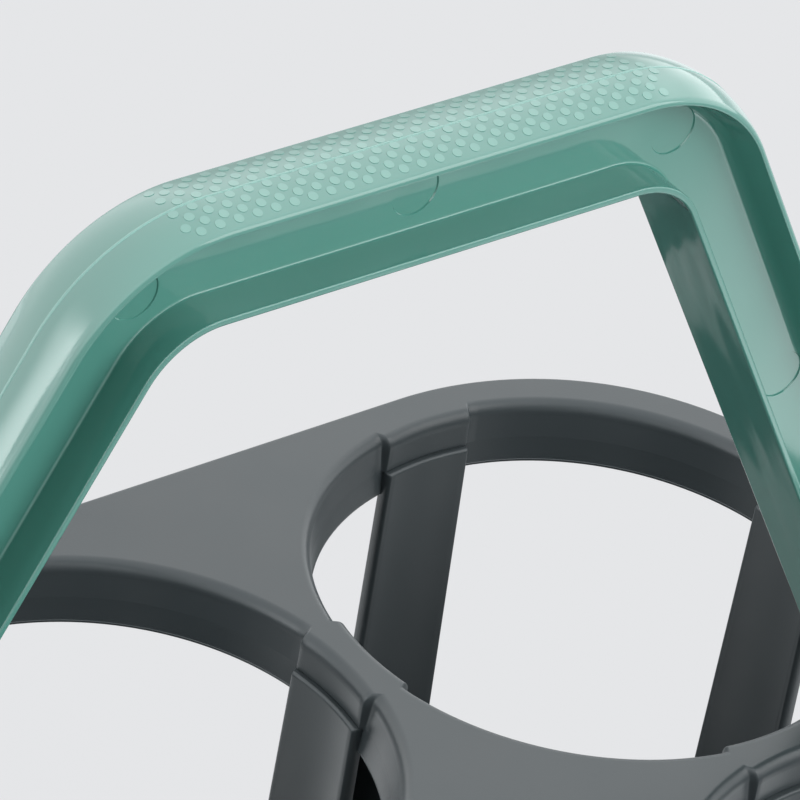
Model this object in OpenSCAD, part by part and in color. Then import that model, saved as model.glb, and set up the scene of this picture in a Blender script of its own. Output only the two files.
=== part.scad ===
// Six-bottle carrier: an open moulded crate of plates, rings and straps with a swinging bail handle.
// Origin: centre of the footprint, on the surface it stands on. X is the long side, Y the short
// side, Z is up. Left is -X, right is +X, front is -Y, back is +Y.

/* [Bottle grid] */
// Distance between neighbouring bottle holes, both ways
pitch = 100; // [96:1:112]
// Width of the bridge between two holes of the top plate
bridge = 4; // [3.6:0.2:6]
// Width of the band between an outer hole and the outline of the top plate
edge_w = 7; // [5:0.5:12]

/* [Top plate] */
// Height of the top plate's upper face above the ground
body_h = 185; // [150:5:220]
// Thickness of the top plate
plate_t = 2.6; // [2:0.1:3.4]
// Depth of the skirt round the outline, from the upper face
skirt_depth = 13; // [8:0.5:20]
// Wall of the skirt
skirt_t = 2; // [1.6:0.1:3]
// Radius of the rounded edges round each hole
rim_fillet = 1.2; // [0.6:0.1:1.8]

/* [Collars] */
// Depth of a collar below the upper face
collar_depth = 12; // [11:0.5:18]
// Wall of a collar outside the hole's radius
collar_wall = 1.5; // [1:0.1:1.7]
// How much narrower a collar's radius is at its lower edge
collar_draft = 1.2; // [0.6:0.1:1.4]
// How far the four pads stand in from a hole's rim
pad_in = 1.5; // [1:0.1:2]
// Width of a pad
pad_w = 18.6; // [18:0.2:24]
// Depth of the ledge under a pad, from the upper face
ledge_depth = 8.5; // [6:0.5:10]

/* [Straps] */
// How far a strap's flat face stands in from the pad above it
strap_in = 1.4; // [0.8:0.1:2]
// Thickness of a strap
strap_t = 2.4; // [1.8:0.1:3]
// Width of a strap at its upper end
strap_w = 17.6; // [14:0.2:18]
// How much wider a strap is at its foot
strap_flare = 3; // [0:0.5:6]
// How far a strap leans in over its height
strap_lean = 2; // [0:0.25:3]
// Web that joins the two faces of a strap between two holes
web_t = 2; // [1.6:0.2:4]

/* [Base tray] */
// How much the base is drawn in from the top plate's outline
base_inset = 3; // [0:0.5:3]
// Height of the floor's underside above the ground
floor_z = 2; // [1:0.5:5]
// Thickness of the floor
floor_t = 2.6; // [2:0.2:4]
// Height of the tray's outer wall
tray_h = 20; // [12:1:30]
// Thickness of the tray's outer wall
tray_t = 2.2; // [1.6:0.2:2.6]
// Height of the cup rings above the floor
cup_h = 14; // [8:1:24]
// How much smaller a cup ring's inner radius is than the hole above it
cup_in = 3.4; // [2.6:0.2:5]
// Wall of a cup ring
cup_wall = 2; // [1.6:0.2:3]
// Radius of the drain hole in each cup
drain_r = 12; // [6:1:15]
// Radius of the small holes round the drain hole
vent_r = 4; // [2:0.5:5]
// Number of small holes round the drain hole
vent_count = 8; // [4:1:10]
// Radius of the circle that the small holes lie on
vent_ring_r = 28; // [24:1:34]

/* [Handle] */
// Height of the grip's top above the top plate, with the small raised dots on it
handle_h = 146.7; // [120:0.5:180]
// From the top plate's end to a leg's outer line, at the height of the hinge
foot_inset = 24.7; // [22:0.5:30]
// Angle of the legs from the vertical
leg_angle = 29.1; // [24:0.1:32]
// Outer radius of the two corners
corner_r = 29.6; // [24:0.1:34]
// Depth of the handle's section, outside to inside
beam_d = 16.4; // [13:0.1:18]
// Width of the outer flange
flange_w = 14.4; // [12:0.2:16]
// Rise of the crowned outer face at its middle
crown = 1.7; // [0.6:0.1:2]
// Edge thickness of the outer flange
lip_t = 0.8; // [0.6:0.1:2]
// Width of the inner flange
inner_w = 16; // [13:0.2:16]
// Edge thickness of the inner flange
inner_t = 1.1; // [0.8:0.1:2]
// Thickness of the web between the flanges
beam_web_t = 2.6; // [2:0.1:4]

/* [Hinge] */
// Height of the hinge axis above the top plate
hinge_h = 8.6; // [8.4:0.1:12]
// Radius of a pivot pin
pin_r = 3; // [2:0.25:3.5]
// Running clearance round a pin in the handle's eye
pin_gap = 0.1; // [0.05:0.01:0.1]
// Radius of the handle's rounded foot round the pin
eye_r = 7.5; // [6.5:0.1:7.6]
// Length of the eye along the axis
eye_len = 14; // [10:0.5:15]
// Gap between the eye and its ear
ear_gap = 0.4; // [0.3:0.1:1]
// Thickness of an ear
ear_t = 5; // [4:0.5:6]
// Width of an ear where it stands on the plate
ear_w = 24; // [20:1:26]
// Thickness of a pin's head
head_t = 2; // [1.5:0.1:3]
// Radius of a pin's head
head_r = 5.5; // [4.5:0.1:6]
// How far a pin's snap tip stands out round its shank
barb = 0.6; // [0.3:0.1:1]
// Length of a pin's snap tip
barb_len = 2.4; // [1.5:0.1:3]

/* [Hidden] */

body_colour = "#4a5053";
handle_colour = "#8fb8ae";
round_fn = 96;
cut = 1;
// Overlap that makes the grip and the corners one solid
joint_lap = 0.02;

hole_r = (pitch - bridge) / 2;
edge_margin = hole_r + edge_w;
collar_low_r = hole_r - collar_draft;
pad_r = hole_r - pad_in;
strap_face_r = pad_r - strap_in;
cup_r = hole_r - cup_in;
plate_z = body_h - plate_t;
ledge_z = body_h - ledge_depth;
collar_z = body_h - collar_depth;
floor_top = floor_z + floor_t;
strap_len = ledge_z - floor_top;
strap_tilt = atan(strap_lean / strap_len);
strap_low_w = strap_w + strap_flare;
base_margin = edge_margin - base_inset;

// Handle: the legs' outer lines run up from above the plate's ends and meet the grip's level
leg_x = pitch + edge_margin - foot_inset;
grip_half = leg_x - (handle_h - hinge_h) * tan(leg_angle);
turn = 90 - leg_angle;
straight_half = grip_half - corner_r * tan(turn / 2);
hinge_z = body_h + hinge_h;
grip_z = body_h + handle_h;
leg_drop = handle_h - hinge_h - corner_r * (1 - sin(leg_angle));
leg_len = leg_drop / cos(leg_angle);
eye_out_x = leg_x + eye_r * tan(leg_angle) / 2;
eye_in_x = eye_out_x - eye_len;
ear_x = eye_out_x + ear_gap;
web_side = beam_web_t / 2;

// Outline of the plates: a rounded rectangle whose corners are centred on the corner holes
module outline(margin) {
    square([2 * (pitch + margin), pitch], center = true);
    square([2 * pitch, pitch + 2 * margin], center = true);
    for (sx = [-1, 1], sy = [-1, 1])
        translate([sx * pitch, sy * pitch / 2])
            circle(r = margin, $fn = round_fn);
}

// Put children at a hole: column -1, 0 or 1 and row -1 or 1
module at_hole(column, row) {
    translate([column * pitch, row * pitch / 2, 0]) children();
}

// Four upright blocks at the strap places of a hole, from the radius near out to far
module strap_places(width, near, far, z0, z1) {
    for (a = [0 : 90 : 270])
        rotate([0, 0, a])
            translate([near, -width / 2, z0])
                cube([far - near, width, z1 - z0]);
}

// Cutter that rounds the upper edge of a hole of radius r
module edge_rounder(r) {
    translate([0, 0, body_h])
        rotate_extrude($fn = round_fn)
            difference() {
                translate([r - cut, -rim_fillet]) square([rim_fillet + cut, rim_fillet + cut]);
                translate([r + rim_fillet, -rim_fillet]) circle(r = rim_fillet, $fn = 32);
                translate([r - 2 * cut, -2 * rim_fillet]) square([2 * cut, rim_fillet + 3 * cut]);
            }
}

// Everything cut out of the top plate for one bottle, leaving the four pads
module hole_cutter() {
    difference() {
        union() {
            translate([0, 0, plate_z - cut])
                cylinder(r = hole_r, h = plate_t + 2 * cut, $fn = round_fn);
            edge_rounder(hole_r);
        }
        strap_places(pad_w, pad_r - cut, hole_r + 2 * rim_fillet, plate_z - 2 * cut, body_h + 3 * cut);
    }
    translate([0, 0, plate_z - cut])
        cylinder(r = pad_r, h = plate_t + 2 * cut, $fn = round_fn);
    intersection() {
        edge_rounder(pad_r);
        strap_places(pad_w, pad_r - 2 * cut, pad_r + rim_fillet, plate_z, body_h + 2 * cut);
    }
}

module top_plate() {
    color(body_colour)
        difference() {
            union() {
                translate([0, 0, plate_z])
                    linear_extrude(plate_t) outline(edge_margin);
                translate([0, 0, body_h - skirt_depth])
                    linear_extrude(skirt_depth - plate_t)
                        difference() {
                            outline(edge_margin);
                            outline(edge_margin - skirt_t);
                        }
            }
            for (column = [-1, 0, 1], row = [-1, 1])
                at_hole(column, row) hole_cutter();
        }
}

// Short wall round a hole, drafted inside, with a pad at each strap
module collar(column, row) {
    collar_h = plate_z - collar_z;
    color(body_colour)
        at_hole(column, row)
            difference() {
                translate([0, 0, collar_z])
                    cylinder(r = hole_r + collar_wall, h = collar_h, $fn = round_fn);
                difference() {
                    union() {
                        translate([0, 0, collar_z])
                            cylinder(r1 = collar_low_r, r2 = hole_r, h = collar_h, $fn = round_fn);
                        translate([0, 0, collar_z - cut])
                            cylinder(r = collar_low_r, h = 2 * cut, $fn = round_fn);
                        translate([0, 0, plate_z - cut / 10])
                            cylinder(r = hole_r, h = cut, $fn = round_fn);
                    }
                    strap_places(pad_w, pad_r - cut, hole_r + cut, ledge_z, plate_z + 2 * cut);
                }
                translate([0, 0, ledge_z - cut])
                    cylinder(r = pad_r, h = plate_z - ledge_z + 2 * cut, $fn = round_fn);
                strap_places(strap_low_w, 0, strap_face_r + strap_t, collar_z - cut, ledge_z);
            }
}

// Flat band with its face towards a hole at the origin, on the +X side of that hole
module strap_band() {
    translate([strap_face_r, 0, ledge_z])
        rotate([0, strap_tilt, 0])
            rotate([90, 0, 90])
                linear_extrude(strap_t)
                    polygon([
                        [-strap_w / 2, 0], [strap_w / 2, 0],
                        [strap_low_w / 2, -2 * strap_len], [-strap_low_w / 2, -2 * strap_len]
                    ]);
}

// Keeps only what lies between the ledge and the floor
module between_ledge_and_floor() {
    intersection() {
        children();
        translate([-pitch, -pitch, floor_top]) cube([2 * pitch, 2 * pitch, strap_len]);
    }
}

// Strap at the outside of a hole, towards the angle given
module outer_strap(column, row, angle) {
    color(body_colour)
        at_hole(column, row)
            rotate([0, 0, angle])
                between_ledge_and_floor() strap_band();
}

// Strap between two holes: a face for each bottle, joined by a web
module shared_strap(x, y, angle) {
    color(body_colour)
        translate([x, y, 0])
            rotate([0, 0, angle])
                between_ledge_and_floor() {
                    union() {
                        translate([-pitch / 2, 0, 0]) strap_band();
                        rotate([0, 0, 180]) translate([-pitch / 2, 0, 0]) strap_band();
                        translate([0, web_t / 2, 0])
                            rotate([90, 0, 0])
                                linear_extrude(web_t) web_shape();
                    }
                }
}

// Side view of the web, as wide as the middles of the two leaning faces
module web_shape() {
    top_half = pitch / 2 - strap_face_r - strap_t / 2;
    low_half = top_half + strap_lean;
    polygon([
        [-top_half, collar_z], [top_half, collar_z],
        [low_half, floor_top], [-low_half, floor_top]
    ]);
}

module base_tray() {
    color(body_colour)
        difference() {
            union() {
                linear_extrude(tray_h)
                    difference() {
                        outline(base_margin);
                        outline(base_margin - tray_t);
                    }
                translate([0, 0, floor_z])
                    linear_extrude(floor_t) outline(base_margin - tray_t / 2);
            }
            for (column = [-1, 0, 1], row = [-1, 1])
                at_hole(column, row) floor_holes();
            for (sx = [-1, 1])
                translate([sx * pitch / 2, 0, 0])
                    cylinder(r = drain_r, h = tray_h, $fn = round_fn);
        }
}

// Drain hole and the ring of small holes under one bottle
module floor_holes() {
    translate([0, 0, floor_z - cut]) {
        cylinder(r = drain_r, h = floor_t + 2 * cut, $fn = round_fn);
        for (i = [0 : vent_count - 1])
            rotate([0, 0, (i + 0.5) * 360 / vent_count])
                translate([vent_ring_r, 0, 0])
                    cylinder(r = vent_r, h = floor_t + 2 * cut, $fn = 32);
    }
}

// Low ring on the floor that holds a bottle's foot, open where the straps stand
module cup(column, row) {
    color(body_colour)
        at_hole(column, row)
            difference() {
                translate([0, 0, floor_top])
                    cylinder(r = cup_r + cup_wall, h = cup_h, $fn = round_fn);
                translate([0, 0, floor_top - cut])
                    cylinder(r = cup_r, h = cup_h + 2 * cut, $fn = round_fn);
                strap_places(strap_low_w, 0, pitch, floor_top - cut, floor_top + cup_h + cut);
            }
}

// Half of the handle's section: x is the distance in from the crowned outer face, y the half width
function section_side() = [
    for (i = [0 : 4]) [crown * pow(i / 4, 2), flange_w / 2 * i / 4],
    [crown + lip_t, flange_w / 2],
    [crown + lip_t + 0.8, web_side + 2.8],
    [crown + lip_t + 1.4, web_side + 1],
    [crown + lip_t + 2.6, web_side],
    [beam_d - inner_t - 0.8, web_side],
    [beam_d - inner_t - 0.2, web_side + 0.6],
    [beam_d - inner_t, inner_w / 2],
    [beam_d, inner_w / 2]
];

// The whole section, with the outer face at x = 0 and the depth running to -x
module beam_section() {
    side = section_side();
    last = len(side) - 1;
    polygon(concat(
        [for (p = side) [-p[0], p[1]]],
        [for (i = [last : -1 : 1]) [-side[i][0], -side[i][1]]]
    ));
}

// Straight beam of the section, from its own origin along -Z, with the outer face at +X
module beam_run(length) {
    translate([0, 0, -length]) linear_extrude(length) beam_section();
}

// Corner and leg on the +X side of the handle
module handle_side() {
    translate([straight_half, 0, grip_z - corner_r]) {
        rotate([90, 0, 0])
            rotate([0, 0, leg_angle])
                rotate_extrude(angle = turn, $fn = round_fn)
                    translate([corner_r, 0]) beam_section();
        rotate([0, -leg_angle, 0])
            translate([corner_r, 0, 0])
                beam_run(leg_len + beam_d);
    }
}

// Rounded foot round the pin's hole at the end of the leg
module foot() {
    translate([eye_in_x, 0, hinge_z])
        rotate([0, 90, 0])
            cylinder(r = eye_r, h = eye_len, $fn = 64);
    translate([eye_in_x, -eye_r, hinge_z])
        cube([eye_len - eye_r * tan(leg_angle), 2 * eye_r, eye_r * 1.6]);
}

// What is taken off the leg below and outside the foot, and round the pin's snap tip
module foot_cutter() {
    reach = 2 * beam_d;
    difference() {
        translate([leg_x - reach, -reach, hinge_z - reach])
            cube([2 * reach, 2 * reach, reach]);
        translate([leg_x - 2 * reach, 0, hinge_z])
            rotate([0, 90, 0])
                cylinder(r = eye_r, h = 4 * reach, $fn = 64);
    }
    translate([eye_out_x, -reach, hinge_z - reach])
        cube([reach, 2 * reach, 2 * reach]);
    translate([eye_in_x - reach, 0, hinge_z])
        rotate([0, 90, 0])
            cylinder(r = pin_r + barb + 2 * ear_gap, h = reach, $fn = 48);
    translate([eye_in_x - cut, 0, hinge_z])
        rotate([0, 90, 0])
            cylinder(r = pin_r + pin_gap, h = eye_len + 2 * cut, $fn = 48);
}

module handle() {
    color(handle_colour)
        difference() {
            union() {
                translate([straight_half + joint_lap, 0, grip_z])
                    rotate([0, -90, 0])
                        linear_extrude(2 * (straight_half + joint_lap)) beam_section();
                for (side = [0, 1])
                    mirror([side, 0, 0]) {
                        handle_side();
                        foot();
                    }
            }
            for (side = [0, 1])
                mirror([side, 0, 0]) foot_cutter();
        }
}

// Upright ear on the plate that carries the pin, with two gussets behind it
module ear() {
    gusset_t = (ear_w - 2 * head_r) / 4;
    gusset_l = 2 * ear_t;
    difference() {
        union() {
            translate([ear_x, -ear_w / 2, body_h]) cube([ear_t, ear_w, hinge_h - eye_r / 2]);
            translate([ear_x, -eye_r, body_h]) cube([ear_t, 2 * eye_r, hinge_h]);
            translate([ear_x, 0, hinge_z])
                rotate([0, 90, 0]) cylinder(r = eye_r, h = ear_t, $fn = 64);
            for (sy = [-1, 1])
                translate([ear_x + ear_t, sy * (ear_w - gusset_t) / 2 + gusset_t / 2, body_h])
                    rotate([90, 0, 0])
                        linear_extrude(gusset_t)
                            polygon([[0, 0], [gusset_l, 0], [0, hinge_h - eye_r / 2]]);
        }
        translate([ear_x - cut, 0, hinge_z])
            rotate([0, 90, 0]) cylinder(r = pin_r, h = ear_t + 2 * cut, $fn = 48);
    }
}

// Pin with its head outside the ear and a snap tip inside the handle's foot
module pin() {
    translate([ear_x + ear_t, 0, hinge_z])
        rotate([0, 90, 0]) cylinder(r = head_r, h = head_t, $fn = 64);
    translate([eye_in_x - ear_gap, 0, hinge_z])
        rotate([0, 90, 0])
            cylinder(r = pin_r, h = ear_x + ear_t - eye_in_x + ear_gap, $fn = 48);
    translate([eye_in_x - ear_gap - barb_len, 0, hinge_z])
        rotate([0, 90, 0])
            cylinder(r1 = pin_r - barb, r2 = pin_r + barb, h = barb_len, $fn = 48);
}

module hinge_ear_right() { color(body_colour) ear(); }
module hinge_ear_left() { color(body_colour) mirror([1, 0, 0]) ear(); }
module pivot_pin_right() { color(body_colour) pin(); }
module pivot_pin_left() { color(body_colour) mirror([1, 0, 0]) pin(); }

top_plate();
collar(-1, 1);  // collar_back_left
collar(0, 1);  // collar_back_middle
collar(1, 1);  // collar_back_right
collar(-1, -1);  // collar_front_left
collar(0, -1);  // collar_front_middle
collar(1, -1);  // collar_front_right
outer_strap(-1, 1, 90);  // strap_back_left
outer_strap(0, 1, 90);  // strap_back_middle
outer_strap(1, 1, 90);  // strap_back_right
outer_strap(-1, -1, -90);  // strap_front_left
outer_strap(0, -1, -90);  // strap_front_middle
outer_strap(1, -1, -90);  // strap_front_right
outer_strap(-1, 1, 180);  // strap_left_back
outer_strap(-1, -1, 180);  // strap_left_front
outer_strap(1, 1, 0);  // strap_right_back
outer_strap(1, -1, 0);  // strap_right_front
shared_strap(-pitch / 2, pitch / 2, 0);  // neck_strap_back_left
shared_strap(pitch / 2, pitch / 2, 0);  // neck_strap_back_right
shared_strap(-pitch / 2, -pitch / 2, 0);  // neck_strap_front_left
shared_strap(pitch / 2, -pitch / 2, 0);  // neck_strap_front_right
shared_strap(-pitch, 0, 90);  // cross_strap_left
shared_strap(0, 0, 90);  // cross_strap_middle
shared_strap(pitch, 0, 90);  // cross_strap_right
base_tray();
cup(-1, 1);  // cup_back_left
cup(0, 1);  // cup_back_middle
cup(1, 1);  // cup_back_right
cup(-1, -1);  // cup_front_left
cup(0, -1);  // cup_front_middle
cup(1, -1);  // cup_front_right
hinge_ear_left();
hinge_ear_right();
pivot_pin_left();
pivot_pin_right();
handle();
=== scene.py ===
from math import asin, atan2, copysign, cos, degrees, pi, radians, sin, tan

import bmesh
import bpy
from mathutils import Matrix, Vector, geometry


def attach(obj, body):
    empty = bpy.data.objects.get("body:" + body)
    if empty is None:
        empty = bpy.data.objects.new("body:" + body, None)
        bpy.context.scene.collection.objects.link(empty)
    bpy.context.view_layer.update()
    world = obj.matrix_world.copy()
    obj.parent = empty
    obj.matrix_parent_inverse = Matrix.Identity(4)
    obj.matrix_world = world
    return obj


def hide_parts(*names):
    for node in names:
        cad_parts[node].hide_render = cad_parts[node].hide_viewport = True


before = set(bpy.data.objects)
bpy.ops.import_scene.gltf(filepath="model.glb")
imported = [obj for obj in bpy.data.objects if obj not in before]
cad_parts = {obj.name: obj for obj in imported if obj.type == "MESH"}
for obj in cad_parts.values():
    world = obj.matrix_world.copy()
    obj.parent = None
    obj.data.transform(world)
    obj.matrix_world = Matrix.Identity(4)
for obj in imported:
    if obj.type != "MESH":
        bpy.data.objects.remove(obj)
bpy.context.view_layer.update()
mm = 0.001
print("frame loaded:", len(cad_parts), "nodes")

# Camera
photoCamera = {
    "place": (-435.1, -482.9, 745.5),
    "azimuth": 42.33,
    "downAngle": 35.213,
    "roll": 9.503,
    "lens": 252.43,
    "sensor": 36,
    "farthest": 20,
}


def addCamera(settings):
    az, down, roll = (radians(settings[k]) for k in ("azimuth", "downAngle", "roll"))
    ahead = Vector((sin(az) * cos(down), cos(az) * cos(down), -sin(down)))
    side = Vector((cos(az), -sin(az), 0))
    above = side.cross(ahead)
    sideRolled = side * cos(roll) + above * sin(roll)
    aboveRolled = above * cos(roll) - side * sin(roll)
    data = bpy.data.cameras.new("photoCamera")
    data.sensor_width = settings["sensor"]
    data.lens = settings["lens"]
    data.clip_end = settings["farthest"]
    camera = bpy.data.objects.new("photoCamera", data)
    turn = Matrix((sideRolled, aboveRolled, -ahead)).transposed()
    camera.matrix_world = Matrix.Translation(Vector(settings["place"]) * mm) @ turn.to_4x4()
    bpy.context.scene.collection.objects.link(camera)
    bpy.context.scene.camera = camera


addCamera(photoCamera)

# Plastics
bodyFinish = {
    "colour": (0.035, 0.043, 0.047, 1),
    "tint": (0.040, 0.049, 0.053, 1),
    "roughness": (0.30, 0.38),
    "grainSize": 2600,
    "grainDepth": 0.05,
    "waveDepth": 0.10,
    "specular": 0.27,
}
handleFinish = {
    "colour": (0.078, 0.255, 0.212, 1),
    "tint": (0.086, 0.275, 0.230, 1),
    "roughness": (0.06, 0.10),
    "grainSize": 3200,
    "grainDepth": 0.015,
    "waveDepth": 0.4,
    "waveStretch": (1, 2.6, 0.35),
    "specular": 0.6,
}
dotFinish = {
    "colour": (0.105, 0.298, 0.252, 1),
    "tint": (0.115, 0.318, 0.270, 1),
    "roughness": (0.14, 0.2),
    "grainSize": 3200,
    "grainDepth": 0.015,
    "waveDepth": 0.02,
    "specular": 0.75,
}
# the parting line's paler colour is a painted highlight, standing in for the light that its fine ridge
# catches
seamHighlightFinish = {**dotFinish, "colour": (0.15, 0.37, 0.32, 1), "tint": (0.165, 0.39, 0.34, 1), "specular": 0.6}
pinFinish = {
    "colour": (0.024, 0.026, 0.028, 1),
    "tint": (0.030, 0.033, 0.035, 1),
    "roughness": (0.3, 0.4),
    "grainSize": 3000,
    "grainDepth": 0.03,
    "waveDepth": 0.05,
    "specular": 0.5,
}


# noise shared by all plastics: (scale, detail) each, and how high the bumps stand
plasticNoise = {
    "pigment": (28, 3), "gloss": (65, 4), "sink": (45, 1), "grainDetail": 2,
    "glossSpan": (0.3, 0.7), "grainHeight": 0.2 * mm, "sinkHeight": 1 * mm,
}


def maths(tree, operation, *values):
    node = tree.nodes.new("ShaderNodeMath")
    node.operation = operation
    for socket, value in zip(node.inputs, values):
        if isinstance(value, (int, float)):
            socket.default_value = value
        else:
            tree.links.new(value, socket)
    return node.outputs[0]


def mouldedPlastic(name, settings):
    material = bpy.data.materials.new(name)
    material.use_nodes = True
    nodes, link = material.node_tree.nodes, material.node_tree.links.new
    shader = nodes["Principled BSDF"]
    shader.inputs["Specular IOR Level"].default_value = settings["specular"]
    place = nodes.new("ShaderNodeTexCoord").outputs["Object"]

    def noise(where, scale, detail):
        node = nodes.new("ShaderNodeTexNoise")
        node.inputs["Scale"].default_value = scale
        node.inputs["Detail"].default_value = detail
        link(where, node.inputs["Vector"])
        return node.outputs["Fac"]

    def bump(height, strength, distance):
        node = nodes.new("ShaderNodeBump")
        node.inputs["Strength"].default_value = strength
        node.inputs["Distance"].default_value = distance
        link(height, node.inputs["Height"])
        return node

    pigment = nodes.new("ShaderNodeMix")  # slow drift of the colour
    pigment.data_type = "RGBA"
    pigment.inputs["A"].default_value = settings["colour"]
    pigment.inputs["B"].default_value = settings["tint"]
    link(noise(place, *plasticNoise["pigment"]), pigment.inputs["Factor"])
    link(pigment.outputs["Result"], shader.inputs["Base Color"])

    gloss = nodes.new("ShaderNodeMapRange")  # gloss that changes where the mould was polished
    gloss.inputs["From Min"].default_value, gloss.inputs["From Max"].default_value = plasticNoise["glossSpan"]
    gloss.inputs["To Min"].default_value, gloss.inputs["To Max"].default_value = settings["roughness"]
    link(noise(place, *plasticNoise["gloss"]), gloss.inputs["Value"])
    link(gloss.outputs["Result"], shader.inputs["Roughness"])

    stretch = nodes.new("ShaderNodeVectorMath")  # the handle's waves run along its legs
    stretch.operation = "MULTIPLY"
    stretch.inputs[1].default_value = settings.get("waveStretch", (1, 1, 1))
    link(place, stretch.inputs[0])
    waves = noise(stretch.outputs["Vector"], *plasticNoise["sink"])
    sink = bump(waves, settings["waveDepth"], plasticNoise["sinkHeight"])
    speckle = noise(place, settings["grainSize"], plasticNoise["grainDetail"])
    grain = bump(speckle, settings["grainDepth"], plasticNoise["grainHeight"])
    link(sink.outputs["Normal"], grain.inputs["Normal"])
    link(grain.outputs["Normal"], shader.inputs["Normal"])
    return material


bodyPlastic = mouldedPlastic("bodyPlastic", bodyFinish)
handlePlastic = mouldedPlastic("handlePlastic", handleFinish)
dotPlastic = mouldedPlastic("dotPlastic", dotFinish)
seamHighlightPlastic = mouldedPlastic("seamHighlightPlastic", seamHighlightFinish)
pinPlastic = mouldedPlastic("pinPlastic", pinFinish)
print("plastics ready")


# Mesh helpers: shells are written in millimetres and scaled in addPiece
weld = {"distance": 0.002 * mm, "shortestEdge": 0.0005 * mm}


def smoothShade(mesh, sharp=35):
    mesh.shade_smooth()
    mesh.set_sharp_from_angle(angle=radians(sharp))


def addPiece(name, verts, faces, material):
    mesh = bpy.data.meshes.new(name)
    mesh.from_pydata([Vector(v) * mm for v in verts], [], faces)
    work = bmesh.new()
    work.from_mesh(mesh)
    bmesh.ops.remove_doubles(work, verts=work.verts, dist=weld["distance"])
    bmesh.ops.dissolve_degenerate(work, edges=work.edges, dist=weld["shortestEdge"])
    bmesh.ops.recalc_face_normals(work, faces=work.faces)
    work.to_mesh(mesh)
    work.free()
    smoothShade(mesh)
    mesh.materials.append(material)
    piece = bpy.data.objects.new(name, mesh)
    bpy.context.scene.collection.objects.link(piece)
    return piece


def finishPiece(piece, body, slot, *nodes):
    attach(piece, body)
    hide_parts(*nodes)


def addBodyPiece(name, shell, node):
    finishPiece(addPiece(name, *shell, bodyPlastic), "carrier", "body_plastic", node)


def joinShells(shells):
    verts, faces = [], []
    for shellVerts, shellFaces in shells:
        start = len(verts)
        verts += [tuple(v) for v in shellVerts]
        faces += [tuple(i + start for i in face) for face in shellFaces]
    return verts, faces


def moved(shell, change):
    return [change(Vector(v)) for v in shell[0]], shell[1]


def stripFaces(rows, columns, closed, start=0):
    # rows run down a strip, columns along it
    faces = []
    for c in range(columns if closed else columns - 1):
        n = (c + 1) % columns
        for r in range(rows - 1):
            faces.append((start + c * rows + r, start + n * rows + r,
                          start + n * rows + r + 1, start + c * rows + r + 1))
    return faces


def insetLoop(loop, distance, leastLean=0.3):
    # material lies to the left of the loop's direction, and leastLean limits how far a sharp corner moves
    out = []
    for i, point in enumerate(loop):
        before, after = Vector(loop[i - 1]), Vector(loop[(i + 1) % len(loop)])
        here = Vector(point)
        one, two = (here - before).normalized(), (after - here).normalized()
        left = Vector((-one.y, one.x)) + Vector((-two.y, two.x))
        left.normalize()
        lean = max(left.dot(Vector((-one.y, one.x))), leastLean)
        out.append(here + left * (distance / lean))
    return out


def flatSolid(outer, holes, low, high, edge, steps=3):
    # plate between two levels, with every edge rounded
    loops = [outer] + holes
    levels = []
    for k in range(steps + 1):
        swing = pi / 2 * k / steps
        levels.append((edge * (1 - sin(swing)), low + edge * (1 - cos(swing))))
    # one more line on each side of a rounding keeps the faces beside it flat
    levels = [(edge + edge * 0.15, low)] + levels + [(0, low + edge * 1.1)]
    levels += [(d, high + low - z) for d, z in reversed(levels)]
    verts, faces, caps = [], [], [[], []]
    for loop in loops:
        start = len(verts)
        rings = [[(p.x, p.y, z) for p in insetLoop(loop, d)] for d, z in levels]
        count = len(loop)
        for i in range(count):
            verts += [ring[i] for ring in rings]
        faces += stripFaces(len(levels), count, True, start)
        caps[0].append([start + i * len(levels) for i in range(count)])
        caps[1].append([start + i * len(levels) + len(levels) - 1 for i in range(count)])
    for cap in caps:
        flat = [i for ring in cap for i in ring]
        for tri in geometry.tessellate_polygon([[Vector(verts[i]) for i in ring] for ring in cap]):
            faces.append(tuple(flat[t] for t in tri))
    return verts, faces


def circleLoop(x, y, radius, count=64, holeLoop=False):
    turns = [2 * pi * i / count for i in range(count)]
    if holeLoop:
        turns.reverse()
    return [(x + radius * cos(t), y + radius * sin(t)) for t in turns]


def roundedLoop(points, radii, steps=5):
    # polygon with its corners rounded, each by its own radius
    out = []
    for i, (point, size) in enumerate(zip(points, radii)):
        here = Vector(point)
        if size <= 0:
            out.append(here)
            continue
        one = (Vector(points[i - 1]) - here).normalized()
        two = (Vector(points[(i + 1) % len(points)]) - here).normalized()
        half = one.angle(two) / 2
        reach = size / tan(half)
        middle = here + (one + two).normalized() * (size / sin(half))
        first, last = here + one * reach - middle, here + two * reach - middle
        for k in range(steps + 1):
            mix = first.lerp(last, k / steps)
            out.append(middle + mix.normalized() * size)
    return out


def turned(profile, steps=64):
    # solid of revolution about the X axis, from points (x, radius)
    verts, faces = [], []
    for s in range(steps):
        t = 2 * pi * s / steps
        verts += [(x, r * cos(t), r * sin(t)) for x, r in profile]
    faces = stripFaces(len(profile), steps, True)
    return verts, faces


def boxSolid(corners, edge, steps=3):
    # slab from its eight corners, lower four then upper four, with rounded edges
    work = bmesh.new()
    v = [work.verts.new(c) for c in corners]
    for face in ((3, 2, 1, 0), (4, 5, 6, 7), (0, 1, 5, 4), (1, 2, 6, 5), (2, 3, 7, 6), (3, 0, 4, 7)):
        work.faces.new([v[i] for i in face])
    bmesh.ops.bevel(work, geom=list(work.edges), offset=edge, segments=steps, profile=0.5,
                    affect="EDGES", clamp_overlap=True)
    work.verts.index_update()
    verts = [tuple(p.co) for p in work.verts]
    faces = [tuple(p.index for p in f.verts) for f in work.faces]
    work.free()
    return verts, faces


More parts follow.
